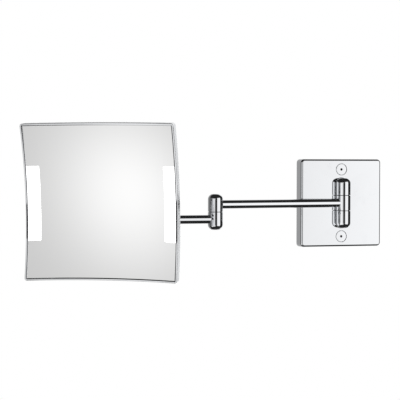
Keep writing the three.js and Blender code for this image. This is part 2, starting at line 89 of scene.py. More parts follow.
wallFrame = Matrix.Translation(wallPoint)
wallArmFrame = wallFrame @ turnZ(headingOf(wallPoint, elbowPoint))
elbowFrame = Matrix.Translation((elbowPoint.x, elbowPoint.y, wallPoint.z))
mirrorArmHeight = wallPoint.z - layout["armDrop"]
mirrorArmFrame = (Matrix.Translation((elbowPoint.x, elbowPoint.y, mirrorArmHeight))
                  @ turnZ(headingOf(elbowPoint, headPoint)))
headAxisFrame = Matrix.Translation((headPoint.x, headPoint.y, mirrorArmHeight))
tiltTurn = turnZ(math.atan2(jointAxis["head_tilt"].y, jointAxis["head_tilt"].x))
postFrame = headAxisFrame @ tiltTurn
tiltFrame = Matrix.Translation(tiltPoint) @ tiltTurn @ turnX(math.radians(layout["headTilt"]))
headFrame = tiltFrame @ Matrix.Translation((0, -layout["tiltSetback"], 0))


class Wire:
    # a shader socket that takes part in ordinary arithmetic
    def __init__(self, board, socket):
        self.board = board
        self.socket = socket

    def maths(self, operation, *values):
        return self.board.node("ShaderNodeMath", {"operation": operation}, dict(enumerate(values)))

    def __add__(self, other):
        return self.maths("ADD", self, other)

    def __radd__(self, other):
        return self.maths("ADD", other, self)

    def __sub__(self, other):
        return self.maths("SUBTRACT", self, other)

    def __rsub__(self, other):
        return self.maths("SUBTRACT", other, self)

    def __mul__(self, other):
        return self.maths("MULTIPLY", self, other)

    def __rmul__(self, other):
        return self.maths("MULTIPLY", other, self)

    def __truediv__(self, other):
        return self.maths("DIVIDE", self, other)

    def __pow__(self, other):
        return self.maths("POWER", self, other)

    def atLeast(self, other):
        return self.maths("MAXIMUM", self, other)

    def fade(self, low, high):
        # 0 below low, 1 above high
        return self.board.node(
            "ShaderNodeMapRange", {"interpolation_type": "SMOOTHSTEP"},
            {"Value": self, "From Min": low, "From Max": high, "To Min": 0, "To Max": 1})

    def between(self, low, high, soft):
        return self.fade(low - soft, low + soft) * (1 - self.fade(high - soft, high + soft))


class Board:
    # a node tree whose new nodes are laid out in rows
    rowLength = 12
    columnStep = 190
    rowStep = -230

    def __init__(self, tree):
        self.tree = tree
        tree.nodes.clear()

    def node(self, kind, settings=None, inputs=None, output=0):
        made = self.tree.nodes.new(kind)
        row, column = divmod(len(self.tree.nodes), self.rowLength)
        made.location = (self.columnStep * column, self.rowStep * row)
        for key, value in (settings or {}).items():
            if key == "stops":
                fillRamp(made.color_ramp, value)
            else:
                setattr(made, key, value)
        for key, value in (inputs or {}).items():
            if isinstance(value, Wire):
                self.tree.links.new(value.socket, made.inputs[key])
            else:
                made.inputs[key].default_value = value
        return Wire(self, made.outputs[output]) if made.outputs else None

    def along(self, vector, direction):
        settings = {"operation": "DOT_PRODUCT"}
        return self.node("ShaderNodeVectorMath", settings, {0: vector, 1: direction}, "Value")

    def mixColour(self, factor, first, second):
        return self.node(
            "ShaderNodeMix", {"data_type": "RGBA"}, {0: factor, 6: first, 7: second}, 2)


def fillRamp(ramp, stops):
    # stops are (place, grey or colour)
    while len(ramp.elements) < len(stops):
        ramp.elements.new(1)
    for element, (place, tone) in zip(ramp.elements, stops):
        element.position = place
        element.color = (tone, tone, tone, 1) if isinstance(tone, (int, float)) else (*tone, 1)


def newFinish(name):
    # every finish starts from object coordinates, in metres
    made = bpy.data.materials.new(name)
    made.use_nodes = True
    board = Board(made.node_tree)
    place = board.node("ShaderNodeTexCoord", output="Object")
    return made, board, place


def closeFinish(board, inputs):
    shader = board.node("ShaderNodeBsdfPrincipled", None, inputs)
    board.node("ShaderNodeOutputMaterial", None, {"Surface": shader})


def noise(board, place, scale, detail=4, rough=0.5, stretch=(1, 1, 1)):
    where = board.node("ShaderNodeMapping", None, {"Vector": place, "Scale": stretch})
    return board.node("ShaderNodeTexNoise", None, {
        "Vector": where, "Scale": scale, "Detail": detail, "Roughness": rough})


def bump(board, height, strength, distance):
    return board.node("ShaderNodeBump", None, {
        "Height": height, "Strength": strength, "Distance": distance})


chromeLook = {
    "colour": (0.835, 0.845, 0.862, 1),
    "wornColour": (0.79, 0.80, 0.82, 1),
    "roughness": 0.028,
    "smear": 0.035,       # extra roughness where it was wiped
    "polish": 0.012,      # strength of the buffing marks
}


satinLook = {
    "colour": (0.84, 0.855, 0.875, 1),
    "wornColour": (0.79, 0.80, 0.82, 1),
    "roughness": 0.27,
    "smear": 0.05,
    "polish": 0.03,
}


def makeChrome(name, look):
    made, board, place = newFinish(name)
    cloud = noise(board, place, 38, 5, 0.55)
    wipe = noise(board, place, 120, 3, 0.6, (1, 1, 0.22))
    marks = noise(board, place, 2600, 2, 0.5, (0.25, 1, 1))
    smear = cloud.fade(0.52, 0.75) * wipe.fade(0.35, 0.75)
    closeFinish(board, {
        "Base Color": board.mixColour(smear, look["colour"], look["wornColour"]),
        "Metallic": 1.0,
        "Roughness": look["roughness"] + smear * look["smear"],
        "Normal": bump(board, marks, look["polish"], 0.02 * mm),
    })
    return made


mirrorLook = {
    "silver": (0.849, 0.848, 0.846, 1),
    "dusty": (0.80, 0.80, 0.79, 1),
    "roughness": 0.012,
    "specular": 0.6,
}


def makeMirror(look):
    made, board, place = newFinish("silveredMirror")
    dust = noise(board, place, 900, 3, 0.6).fade(0.66, 0.8)
    haze = noise(board, place, 14, 3, 0.5)
    closeFinish(board, {
        "Base Color": board.mixColour(dust * 0.25 + haze * 0.08, look["silver"], look["dusty"]),
        "Metallic": 1.0,
        "Roughness": look["roughness"] + dust * 0.03 + haze * 0.008,
        "Specular IOR Level": look["specular"],
    })
    return made


windowLook = {
    "frosted": (0.93, 0.93, 0.92, 1),
    "warmGlow": (1.0, 0.992, 0.975, 1),
    "coolGlow": (0.985, 0.99, 1.0, 1),
    "strength": 1.15,
    "roughness": 0.42,
}


def makeWindow(look):
    made, board, place = newFinish("satinWindow")
    frost = noise(board, place, 5200, 2, 0.6)
    glow = noise(board, place, 45, 2, 0.4)
    closeFinish(board, {
        "Base Color": look["frosted"],
        "Roughness": look["roughness"] + frost * 0.12,
        "Emission Color": board.mixColour(glow.fade(0.3, 0.7), look["warmGlow"], look["coolGlow"]),
        "Emission Strength": look["strength"],
        "Normal": bump(board, frost, 0.15, 0.03 * mm),
    })
    return made


steelLook = {
    "bright": (0.62, 0.62, 0.63, 1),
    "stained": (0.5, 0.49, 0.48, 1),
    "roughness": 0.2,
}


def makeTurnedSteel(look):
    made, board, place = newFinish("brightSteel")
    grain = noise(board, place, 3200, 3, 0.6, (1, 1, 0.15))
    stain = noise(board, place, 160, 4, 0.6)
    closeFinish(board, {
        "Base Color": board.mixColour(stain.fade(0.4, 0.75), look["bright"], look["stained"]),
        "Metallic": 1.0,
        "Roughness": look["roughness"] + grain * 0.16,
        "Normal": bump(board, grain, 0.12, 0.03 * mm),
    })
    return made


zincLook = {
    "dark": (0.56, 0.58, 0.60, 1),
    "light": (0.72, 0.73, 0.72, 1),
    "roughness": 0.34,
    "flakes": 420,
}


def makeZinc(look):
    made, board, place = newFinish("zincPlatedSteel")
    flake = board.node("ShaderNodeTexVoronoi", {"feature": "F1"}, {
        "Vector": place, "Scale": look["flakes"]}, "Color")
    tone = board.node("ShaderNodeSeparateColor", None, {"Color": flake})
    cloud = noise(board, place, 60, 4, 0.6)
    grain = noise(board, place, 4200, 2, 0.6)
    closeFinish(board, {
        "Base Color": board.mixColour(tone * 0.35 + cloud * 0.4, look["dark"], look["light"]),
        "Metallic": 1.0,
        "Roughness": look["roughness"] + cloud * 0.14,
        "Normal": bump(board, grain + tone * 0.4, 0.16, 0.04 * mm),
    })
    return made


def makePlastic(name, dark, light, roughness, grainScale=2600):
    made, board, place = newFinish(name)
    grain = noise(board, place, grainScale, 3, 0.55)
    cloud = noise(board, place, 70, 3, 0.5)
    closeFinish(board, {
        "Base Color": board.mixColour(cloud.fade(0.3, 0.7), (*dark, 1), (*light, 1)),
        "Roughness": roughness + cloud * 0.08,
        "Normal": bump(board, grain, 0.22, 0.06 * mm),
    })
    return made


boardLook = {
    "coating": (0.88, 0.88, 0.83, 1),
    "tracks": (0.76, 0.74, 0.62, 1),
    "roughness": 0.36,
    "trackScale": 140,
}


def makeBoardFinish(look):
    made, board, place = newFinish("lightStripBoard")
    track = board.node("ShaderNodeTexBrick", {"offset": 0.5}, {
        "Vector": place, "Scale": look["trackScale"], "Mortar Size": 0.06,
        "Mortar Smooth": 0.3}, "Fac")
    closeFinish(board, {
        "Base Color": board.mixColour(track, look["coating"], look["tracks"]),
        "Roughness": look["roughness"] + track * 0.15,
        "Normal": bump(board, track, 0.2, 0.03 * mm),
    })
    return made


finishes = {
    "chrome": makeChrome("polishedChrome", chromeLook),
    "mirror_glass": makeMirror(mirrorLook),
    "satin_window": makeWindow(windowLook),
    "bright_steel": makeTurnedSteel(steelLook),
    "zinc_plated_steel": makeZinc(zincLook),
    "white_plastic": makePlastic("whitePlastic", (0.80, 0.80, 0.77), (0.86, 0.86, 0.84), 0.42),
    "black_plastic": makePlastic(
        "blackPlastic", (0.02, 0.02, 0.022), (0.035, 0.035, 0.038), 0.45),
    "rubber": makePlastic(
        "blackRubber", (0.014, 0.014, 0.014), (0.028, 0.027, 0.026), 0.7, 1500),
    "nylon": makePlastic("darkNylon", (0.03, 0.03, 0.032), (0.05, 0.05, 0.053), 0.5),
    "led_board": makeBoardFinish(boardLook),
    "lead_insulation": makePlastic(
        "leadInsulation", (0.55, 0.55, 0.53), (0.63, 0.63, 0.61), 0.5, 1200),
}

extraFinishes = {
    "satinChrome": makeChrome("satinChrome", satinLook),
    # painted shade: a near-black finish for the inside of the screw sockets, standing in for the shade that falls
    # in the hexagon pocket
    "paintedSocketShade": makePlastic(
        "paintedSocketShade", (0.03, 0.028, 0.026), (0.06, 0.055, 0.05), 0.5),
}

for entry in frame["record"]["subparts"]:
    node = frame["nodes"][entry["node"]]
    node.data.materials.clear()
    node.data.materials.append(finishes[entry["material_slot"]])
print("finishes made")


def putAside():
    bpy.ops.object.select_all(action="DESELECT")


def takeUp(*objects):
    putAside()
    for one in objects:
        one.select_set(True)
    bpy.context.view_layer.objects.active = objects[0]


def startEdit(piece, kind="VERT"):
    takeUp(piece)
    bpy.ops.object.mode_set(mode="EDIT")
    bpy.ops.mesh.select_mode(type=kind)
    bpy.ops.mesh.select_all(action="DESELECT")


def endEdit():
    bpy.ops.object.mode_set(mode="OBJECT")


def pick(piece, kind, test):
    # selects the points, edges or faces whose place, and normal for faces, pass the test
    bpy.ops.mesh.select_mode(type=kind)
    bpy.ops.mesh.select_all(action="DESELECT")
    mesh = bmesh.from_edit_mesh(piece.data)
    if kind == "VERT":
        for vert in mesh.verts:
            vert.select_set(test(vert.co))
    if kind == "EDGE":
        for edge in mesh.edges:
            edge.select_set(test(edge.verts[0].co, edge.verts[1].co))
    if kind == "FACE":
        for face in mesh.faces:
            face.select_set(test(face.calc_center_median(), face.normal))
    mesh.select_flush_mode()
    bmesh.update_edit_mesh(piece.data)


def newest(name):
    piece = bpy.context.active_object
    piece.name = name
    piece.data.name = name
    return piece


def tidyMesh(piece):
    startEdit(piece)
    bpy.ops.mesh.select_all(action="SELECT")
    bpy.ops.mesh.remove_doubles(threshold=1e-6)
    bpy.ops.mesh.normals_make_consistent(inside=False)
    endEdit()


def settle(piece, place):
    takeUp(piece)
    piece.matrix_world = place @ piece.matrix_world
    bpy.ops.object.transform_apply(location=True, rotation=True, scale=True)
    return piece


def useModifier(piece, kind, **settings):
    takeUp(piece)
    made = piece.modifiers.new(kind.title(), kind)
    for key, value in settings.items():
        setattr(made, key, value)
    bpy.ops.object.modifier_apply(modifier=made.name)


def carve(piece, *tools):
    for tool in tools:
        useModifier(piece, "BOOLEAN", operation="DIFFERENCE", solver="EXACT", object=tool)
        bpy.data.objects.remove(tool)
    return piece


def joined(name, *parts):
    takeUp(*parts)
    bpy.ops.object.join()
    return newest(name)


roundUpTo = 38                 # degrees between faces that still count as round


def polish(piece):
    # smooth where it is round, with true flats beside the rounded edges
    takeUp(piece)
    bpy.ops.object.shade_smooth_by_angle(angle=math.radians(roundUpTo))
    useModifier(piece, "WEIGHTED_NORMAL", mode="FACE_AREA", weight=60, keep_sharp=True)


def handOver(piece, body, material, *nodes):
    polish(piece)
    piece.data.materials.clear()
    piece.data.materials.append(finishes[material])
    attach(piece, body)
    if nodes:
        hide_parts(*nodes)
    return piece


def refinish(piece, finish, test):
    # a second finish on the faces that pass the test
    piece.data.materials.append(extraFinishes[finish])
    startEdit(piece, "FACE")
    pick(piece, "FACE", test)
    piece.active_material_index = len(piece.data.materials) - 1
    bpy.ops.object.material_slot_assign()
    endEdit()


arcSteps = {
    "tight": 18,               # degrees to a step
    "wide": 7,
    "wideFrom": 2 * mm,        # a corner this round counts as wide
    "fewest": 3,
}


def rounded(points):
    # an outline of (radius, height, corner) points, its corners turned into arcs
    outline = []
    for index, (radius, height, corner) in enumerate(points):
        here = Vector((radius, height))
        if corner <= 0 or index in (0, len(points) - 1):
            outline.append(here)
            continue
        back = (Vector(points[index - 1][:2]) - here).normalized()
        ahead = (Vector(points[index + 1][:2]) - here).normalized()
        half = back.angle(ahead) / 2
        run = corner / math.tan(half)
        centre = here + (back + ahead).normalized() * (corner / math.sin(half))
        first = here + back * run - centre
        sweep = (here + ahead * run - centre).angle_signed(first)
        stepAngle = arcSteps["wide" if corner > arcSteps["wideFrom"] else "tight"]
        steps = max(arcSteps["fewest"], round(abs(math.degrees(sweep)) / stepAngle))
        for step in range(steps + 1):
            outline.append(centre + Matrix.Rotation(sweep * step / steps, 2) @ first)
    return outline


def turnedPiece(name, points, steps=72):
    # a point drawn along the outline, then spun about Z
    outline = rounded(points)
    putAside()
    bpy.ops.mesh.primitive_plane_add(size=mm, location=(0, 0, 0))
    piece = newest(name)
    startEdit(piece)
    bpy.ops.mesh.select_all(action="SELECT")
    bpy.ops.mesh.merge(type="CENTER")
    bpy.ops.mesh.select_all(action="SELECT")
    bpy.ops.transform.translate(value=(outline[0].x, 0, outline[0].y))
    for here, there in zip(outline, outline[1:]):
        step = there - here
        bpy.ops.mesh.extrude_vertices_move(TRANSFORM_OT_translate={"value": (step.x, 0, step.y)})
    bpy.ops.mesh.select_all(action="SELECT")
    bpy.ops.mesh.spin(steps=steps, angle=2 * math.pi, center=(0, 0, 0), axis=(0, 0, 1))
    endEdit()
    tidyMesh(piece)
    return piece


def layAlong(piece, axis):
    turn = Matrix.Rotation(math.radians(90), 4, "Y") if axis == "X" else turnX(math.radians(-90))
    return settle(piece, turn)


def block(name, low, high):
    putAside()
    middle = [(a + b) / 2 for a, b in zip(low, high)]
    bpy.ops.mesh.primitive_cube_add(size=1, location=middle)
    piece = newest(name)
    piece.scale = [b - a for a, b in zip(low, high)]
    bpy.ops.object.transform_apply(location=True, rotation=True, scale=True)
    return piece


def hexagonTool(radius, low, high):
    putAside()
    bpy.ops.mesh.primitive_cylinder_add(
        vertices=6, radius=radius, depth=high - low, location=(0, 0, (low + high) / 2))
    return newest("hexagonTool")


def roundTool(radius, low, high, at=(0, 0), steps=72):
    # along Y
    putAside()
    bpy.ops.mesh.primitive_cylinder_add(
        vertices=steps, radius=radius, depth=high - low,
        location=(at[0], (low + high) / 2, at[1]), rotation=(math.radians(90), 0, 0))
    tool = newest("roundTool")
    bpy.ops.object.transform_apply(location=True, rotation=True, scale=True)
    return tool


def softenEdges(piece, test, width, segments=2):
    startEdit(piece, "EDGE")
    pick(piece, "EDGE", test)
    bpy.ops.mesh.bevel(
        offset=width, offset_type="OFFSET", segments=segments, profile=0.5, affect="EDGES")
    endEdit()


def upright(a, b):
    # an edge that runs along Y
    return abs(a.x - b.x) < same / 10 and abs(a.z - b.z) < same / 10


def offOutline(spot, halfWide, halfTall, corner):
    # how far a spot is from the outline of a rectangle with round corners
    across = max(abs(spot.x) - halfWide + corner, 0)
    along = max(abs(spot.z) - halfTall + corner, 0)
    return abs(math.hypot(across, along) - corner)


knuckle = {
    "radius": 10 * mm,
    "roundEnd": 7 * mm,
    "above": 13.9 * mm,        # arm axis to the round end
    "parting": 0.6 * mm,
    "edge": 0.2 * mm,
    "middleHalf": 10.2 * mm,   # the wall arm's knuckle
    "bore": 4.6 * mm,
    "cap": 3 * mm,             # closed end over the bore
    "counterbore": 6.85 * mm,
    "counterboreDepth": 6 * mm,
    "mouthEdge": 0.15 * mm,
    "arcSteps": 10,
}
knuckle["below"] = (layout["armDrop"] - knuckle["parting"]) / 2
forkHalf = knuckle["middleHalf"] + knuckle["parting"] + knuckle["above"] + knuckle["below"]

pivot = {
    "headRadius": 6.65 * mm,
    "headEdge": 0.15 * mm,
    "headThickness": 4.9 * mm,
    "shankRadius": 4.5 * mm,
    "shankEdge": 0.3 * mm,
    "bore": 2.3 * mm,
    "socket": 3.1 * mm,
    "socketDepth": 3 * mm,
    "wallReach": 12 * mm,      # shank above the fork's gap
    "elbowReach": 4 * mm,      # shank above the wall arm's axis
    "headReach": 8 * mm,       # shank above the post's parting
}


def knuckleUp(name, low, high):
    k = knuckle
    return turnedPiece(name, [
        (k["bore"], low, 0), (k["radius"], low, k["edge"]), (k["radius"], high, k["roundEnd"]),
        (0, high, 0), (0, high - k["cap"], 0), (k["bore"], high - k["cap"], 0),
        (k["bore"], low, 0)])

def domeHeight(radius, low):
    # height of a knuckle's round bottom at a radius
    inner = knuckle["radius"] - knuckle["roundEnd"]
    if radius <= inner:
        return low
    return low + knuckle["roundEnd"] - math.sqrt(knuckle["roundEnd"] ** 2 - (radius - inner) ** 2)


def domeArc(low, first, last):
    # the round bottom between two radii
    steps = knuckle["arcSteps"]
    radii = [first + (last - first) * step / steps for step in range(steps + 1)]
    return [(radius, domeHeight(radius, low), 0) for radius in radii]


def sideArc(low):
    # the round bottom from the counterbore out to the knuckle's side, in even turns
    k = knuckle
    steps = k["arcSteps"]
    inner = k["radius"] - k["roundEnd"]
    start = math.asin((k["counterbore"] + k["mouthEdge"] - inner) / k["roundEnd"])
    turns = [start + (math.pi / 2 - start) * step / steps for step in range(steps + 1)]
    return [(inner + k["roundEnd"] * math.sin(turn), low + k["roundEnd"] * (1 - math.cos(turn)), 0)
            for turn in turns]


def knuckleDown(name, low, high):
    k = knuckle
    seat = low + k["counterboreDepth"]
    mouth = domeHeight(k["counterbore"], low) + k["mouthEdge"]
    return turnedPiece(name, [
        (k["counterbore"], mouth, 0), *sideArc(low), (k["radius"], high, k["edge"]),
        (k["bore"], high, 0), (k["bore"], seat, 0), (k["counterbore"], seat, 0),
        (k["counterbore"], mouth, 0)])


def pivotScrew(name, low, top):
    p = pivot
    flat = knuckle["radius"] - knuckle["roundEnd"]
    rim = p["headRadius"] - p["headEdge"]
    headTop = low + p["headThickness"]
    screw = turnedPiece(name, [
        (p["bore"], low, 0), *domeArc(low, flat, rim),
        (p["headRadius"], domeHeight(rim, low) + p["headEdge"], 0), (p["headRadius"], headTop, 0),
        (p["shankRadius"], headTop, 0), (p["shankRadius"], top, p["shankEdge"]),
        (p["bore"], top, 0), (p["bore"], low, 0)])
    return carve(screw, hexagonTool(p["socket"], low - 2 * mm, low + p["socketDepth"]))


tubes = {
    "radius": 5.75 * mm,
    "bore": 4.25 * mm,
    "seat": 6.2 * mm,          # swivel axis to the end of the tube
    "endEdge": 0.3 * mm,
    "steps": 64,
}


def armTube(name, length):
    t = tubes
    low = t["seat"]
    high = length - t["seat"]
    tube = turnedPiece(name, [
        (t["bore"], low, 0), (t["radius"], low, t["endEdge"]), (t["radius"], high, t["endEdge"]),
        (t["bore"], high, 0), (t["bore"], low, 0)], t["steps"])
    return settle(tube, Matrix.Rotation(math.radians(-90), 4, "Y"))


def makeArms():
    k = knuckle
    wallLength = (elbowPoint.xy - wallPoint.xy).length
    mirrorLength = (headPoint.xy - elbowPoint.xy).length
    middle = turnedPiece("middleKnuckle", [
        (k["bore"], -k["middleHalf"], 0), (k["radius"], -k["middleHalf"], k["edge"]),
        (k["radius"], k["middleHalf"], k["edge"]), (k["bore"], k["middleHalf"], 0),
        (k["bore"], -k["middleHalf"], 0)])
    handOver(settle(middle, wallArmFrame), "wall_arm", "chrome", "wall_arm_knuckle")
    tube = settle(armTube("wallArmTube", wallLength), wallArmFrame)
    handOver(tube, "wall_arm", "chrome", "wall_arm_tube")
    upper = knuckleUp("elbowUpperKnuckle", -k["below"], k["above"])
    handOver(settle(upper, elbowFrame), "wall_arm", "chrome", "elbow_upper_knuckle")
    screw = pivotScrew("elbowPivotScrew", -layout["armDrop"] - k["above"], pivot["elbowReach"])
    handOver(settle(screw, elbowFrame), "wall_arm", "bright_steel", "elbow_pivot_screw")
    for name, place, node in (
            ("elbowLowerKnuckle", mirrorArmFrame, "elbow_lower_knuckle"),
            ("headLowerKnuckle", headAxisFrame, "head_lower_knuckle")):
        lower = knuckleDown(name, -k["above"], k["below"])
        handOver(settle(lower, place), "mirror_arm", "chrome", node)
    tube = settle(armTube("mirrorArmTube", mirrorLength), mirrorArmFrame)
    handOver(tube, "mirror_arm", "chrome", "mirror_arm_tube")


makeArms()
print("arms made")

plate = {
    "side": 120 * mm,
    "depth": 16 * mm,
    "corner": 5 * mm,
    "edge": 3 * mm,
    "wall": 2 * mm,
    "holeEdge": 0.5 * mm,
    "screwOffset": 46 * mm,    # up and down from the middle
    "screwRadius": 7.7 * mm,
    "screwHead": 1.4 * mm,
    "screwShank": 2.9 * mm,
    "screwLength": 12 * mm,
    "screwSocket": 1.9 * mm,
    "screwPoint": 1.6 * mm,    # radius of the cone that the drill left in the socket
    "pocketDepth": 1.7 * mm,
    "pocketHole": 3.2 * mm,
}
endsOfPlate = (("upper", 1), ("lower", -1))


def makePlateCover():
    p = plate
    half = p["side"] / 2
    front = -p["depth"]
    cover = block("wallPlateCover", (-half, front, -half), (half, 0, half))
    softenEdges(cover, upright, p["corner"], 10)
    softenEdges(cover, lambda a, b: a.y < front + same and b.y < front + same, p["edge"], 6)
    startEdit(cover, "FACE")
    pick(cover, "FACE", lambda centre, normal: normal.y > 0.9)
    bpy.ops.mesh.delete(type="FACE")
    endEdit()
    useModifier(cover, "SOLIDIFY", thickness=p["wall"], offset=-1, use_even_offset=True,
                use_quality_normals=True)
    sunk = math.sqrt(knuckle["radius"] ** 2 - (wallPoint.y - front) ** 2) + layout["clearance"]
    reach = forkHalf + layout["clearance"]
    holeRadius = p["screwRadius"] + layout["clearance"]
    slot = block("slotTool", (-sunk, front - 2 * mm, -reach), (sunk, 2 * mm, reach))
    softenEdges(slot, upright, knuckle["roundEnd"], 14)
    tools = [slot]
    for where, side in endsOfPlate:
        spot = (0, side * p["screwOffset"])
        tools.append(roundTool(holeRadius, front - mm, front + p["pocketDepth"], spot))
        tools.append(roundTool(p["pocketHole"], front, front + 4 * mm, spot, 32))
    carve(cover, *tools)
    flatHalf = half - p["edge"] - 10 * same

    longest = 2.5 * sunk + reach

    def nearRim(spot):
        # close to the outline of the slot or of a screw's pocket
        offPocket = abs(math.hypot(spot.x, abs(spot.z) - p["screwOffset"]) - holeRadius)
        offSide = abs(abs(spot.x) - sunk) if abs(spot.z) < reach - knuckle["roundEnd"] else 1
        offEnd = abs(abs(spot.z) - reach) if abs(spot.x) < sunk else 1
        offCorner = offOutline(spot, sunk, reach, knuckle["roundEnd"])
        return min(offPocket, offSide, offEnd, offCorner) < 0.05 * mm

    def onRim(a, b):
        return nearRim((a + b) / 2) and (a - b).length < longest and all(
            abs(end.y - front) < same and max(abs(end.x), abs(end.z)) < flatHalf for end in (a, b))

    softenEdges(cover, onRim, p["holeEdge"], 2)
    handOver(cover, "wall_plate", "chrome", "plate_cover")


def makeCoverScrews():
    p = plate
    front = -p["depth"]
    for where, side in endsOfPlate:
        screw = turnedPiece("coverScrew_" + where, [
            (0, -p["screwLength"], 0), (p["screwShank"], -p["screwLength"], 0.4 * mm),
            (p["screwShank"], -p["screwHead"], 0), (p["screwRadius"], -p["screwHead"], 0),
            (p["screwRadius"], 0, 0.5 * mm), (0, 0, 0)])
        point = turnedPiece("drillPoint", [
            (0, -2.6 * mm, 0), (p["screwPoint"], -p["screwHead"], 0), (p["screwPoint"], mm, 0),
            (0, mm, 0)])
        carve(screw, hexagonTool(p["screwSocket"], -p["screwHead"], 2 * mm), point)
        settle(screw, turnX(math.radians(90)))
        settle(screw, Matrix.Translation((0, front, side * p["screwOffset"])))
        handOver(screw, "wall_plate", "chrome", "cover_screw_" + where)

        def inSocket(centre, normal):
            away = math.hypot(centre.x, centre.z - side * p["screwOffset"])
            return (away < p["screwSocket"] + 0.01 * mm
                    and front + 0.3 * mm < centre.y < front + 2.7 * mm)

        # the faces inside the socket get the near-black painted shade
        refinish(screw, "paintedSocketShade", inSocket)


web = {
    "half": 6 * mm,
    "front": 8 * mm,           # behind the swivel axis
    "wallGap": 3.3 * mm,
    "notchHalf": 12 * mm,
    "notchBack": 10.6 * mm,    # leaves room for the wall arm's knuckle to turn
}


def makeSwivelFork():
    k = knuckle
    room = k["middleHalf"] + k["parting"]
    webTop = forkHalf - k["roundEnd"]
    upper = knuckleUp("upperForkKnuckle", room, forkHalf)
    lower = knuckleDown("lowerForkKnuckle", -forkHalf, -room)
    back = block("forkWeb", (-web["half"], web["front"], -webTop),
                 (web["half"], -wallPoint.y - web["wallGap"], webTop))
    carve(back, block("forkNotch", (-web["notchHalf"], -web["notchHalf"], -room),
                      (web["notchHalf"], web["notchBack"], room)))
    fork = joined("swivelFork", upper, lower, back)
    handOver(settle(fork, wallFrame), "wall_plate", "chrome", "swivel_fork")
    screw = pivotScrew("wallPivotScrew", -forkHalf, room + pivot["wallReach"])
    handOver(settle(screw, wallFrame), "wall_plate", "bright_steel", "wall_pivot_screw")


backing = {
    "side": 114 * mm,
    "corner": 3 * mm,
    "thickness": 3 * mm,
    "edge": 0.3 * mm,
    "wallHole": 3 * mm,
    "wallHoles": 42 * mm,
    "inletHole": 6.9 * mm,
    "inlet": (32 * mm, -34 * mm),
    "forkHole": 4.9 * mm,
    "forkScrews": 21 * mm,
    "forkShank": 2.4 * mm,
    "forkScrewHead": 4.6 * mm,
    "forkSocket": 1.7 * mm,
    "postRadius": 6 * mm,
    "postBase": 2.6 * mm,
    "postTop": 10.9 * mm,
}


def backHole(radius, spot, steps):
    return roundTool(radius, -2 * backing["thickness"], backing["thickness"], spot, steps)


def makeBackplate():
    b = backing
    half = b["side"] / 2
    sheet = block("wallBackplate", (-half, -b["thickness"], -half), (half, 0, half))
    softenEdges(sheet, upright, b["corner"], 8)
    softenEdges(sheet, lambda a, v: abs(a.y - v.y) < same / 10, b["edge"], 2)
    tools = [backHole(b["wallHole"], (side * b["wallHoles"], 0), 40) for side in (-1, 1)]
    tools.append(backHole(b["inletHole"], b["inlet"], 48))
    tools += [backHole(b["forkHole"], (0, side * b["forkScrews"]), 40) for side in (-1, 1)]
    carve(sheet, *tools)
    posts = []
    for side in (-1, 1):
        bore = plate["pocketHole"]
        post = turnedPiece("coverPost", [
            (bore, b["postBase"], 0), (b["postRadius"], b["postBase"], 0),
            (b["postRadius"], b["postTop"], 0.4 * mm), (bore, b["postTop"], 0),
            (bore, b["postBase"], 0)], 40)
        settle(post, turnX(math.radians(90)))
        posts.append(settle(post, Matrix.Translation((0, 0, side * plate["screwOffset"]))))
    whole = joined("wallBackplate", sheet, *posts)
    handOver(whole, "wall_plate", "zinc_plated_steel", "wall_backplate")


def makeForkScrews():
    b = backing
    for where, side in endsOfPlate:
        screw = turnedPiece("forkScrew_" + where, [
            (0, -12 * mm, 0), (b["forkShank"], -12 * mm, 0.4 * mm), (b["forkShank"], -2.6 * mm, 0),
            (b["forkScrewHead"], -0.5 * mm, 0), (b["forkScrewHead"], -0.3 * mm, 0),
            (0, -0.3 * mm, 0)], 48)
        carve(screw, hexagonTool(b["forkSocket"], -2.2 * mm, 2 * mm))
        settle(screw, turnX(math.radians(-90)))
        settle(screw, Matrix.Translation((0, 0, side * b["forkScrews"])))
        handOver(screw, "wall_plate", "bright_steel", "fork_screw_" + where)


inletGrommet = {
    "bore": 3.5 * mm,
    "sleeve": 6.5 * mm,
    "flange": 8.7 * mm,
    "flangeFrom": 3.3 * mm,
    "edge": 0.6 * mm,
    "span": (0.3 * mm, 5.1 * mm),
}


def makeInletGrommet():
    g = inletGrommet
    low, high = g["span"]
    grommet = turnedPiece("inletGrommet", [
        (g["bore"], low, 0), (g["sleeve"], low, 0), (g["sleeve"], g["flangeFrom"], 0),
        (g["flange"], g["flangeFrom"], 0), (g["flange"], high, g["edge"]),
        (g["bore"], high, g["edge"]), (g["bore"], low, 0)], 48)
    settle(grommet, turnX(math.radians(90)))
    settle(grommet, Matrix.Translation((backing["inlet"][0], 0, backing["inlet"][1])))
    handOver(grommet, "wall_plate", "rubber", "inlet_grommet")


makePlateCover()
makeCoverScrews()
makeSwivelFork()
makeBackplate()
makeForkScrews()
makeInletGrommet()
print("wall plate made")

# every layer of the head is modelled flat, y being its depth behind the mirror's surface,
# and then pressed to the dish
head = {
    "half": 100 * mm,
    "corner": 3 * mm,
    "lip": 3 * mm,
    "wall": 1.7 * mm,
    "lipFront": -1.5 * mm,
    "lipBack": -0.3 * mm,
    "wallBack": 10 * mm,
    "glassHalf": 98 * mm,
    "glassThickness": 3 * mm,
    "windowInner": 81.5 * mm,
    "windowHalf": 47.5 * mm,
    "windowDrop": 2.8 * mm,    # the windows' middle below the head's middle
    "frameEdge": 0.9 * mm,
    "coverFront": 10.3 * mm,
    "coverBack": 11.9 * mm,
    "coverEdge": 1.1 * mm,
    "rearScrews": 80 * mm,
    "bracketScrews": 12 * mm,
    "leadHole": -34 * mm,
    "cells": 44,
    "glassCells": 56,
    "glassCorner": 1.4 * mm,
    "windowCells": (6, 28),
    "windowCorner": 0.5 * mm,
    "lipEdge": 0.35 * mm,
}


def pressToDish(piece):
    radius = layout["curve"]
    for vert in piece.data.vertices:
        x, depth, z = vert.co
        vert.co.y = math.sqrt((radius + depth) ** 2 - x * x - z * z) - radius
    piece.data.update()
    return piece


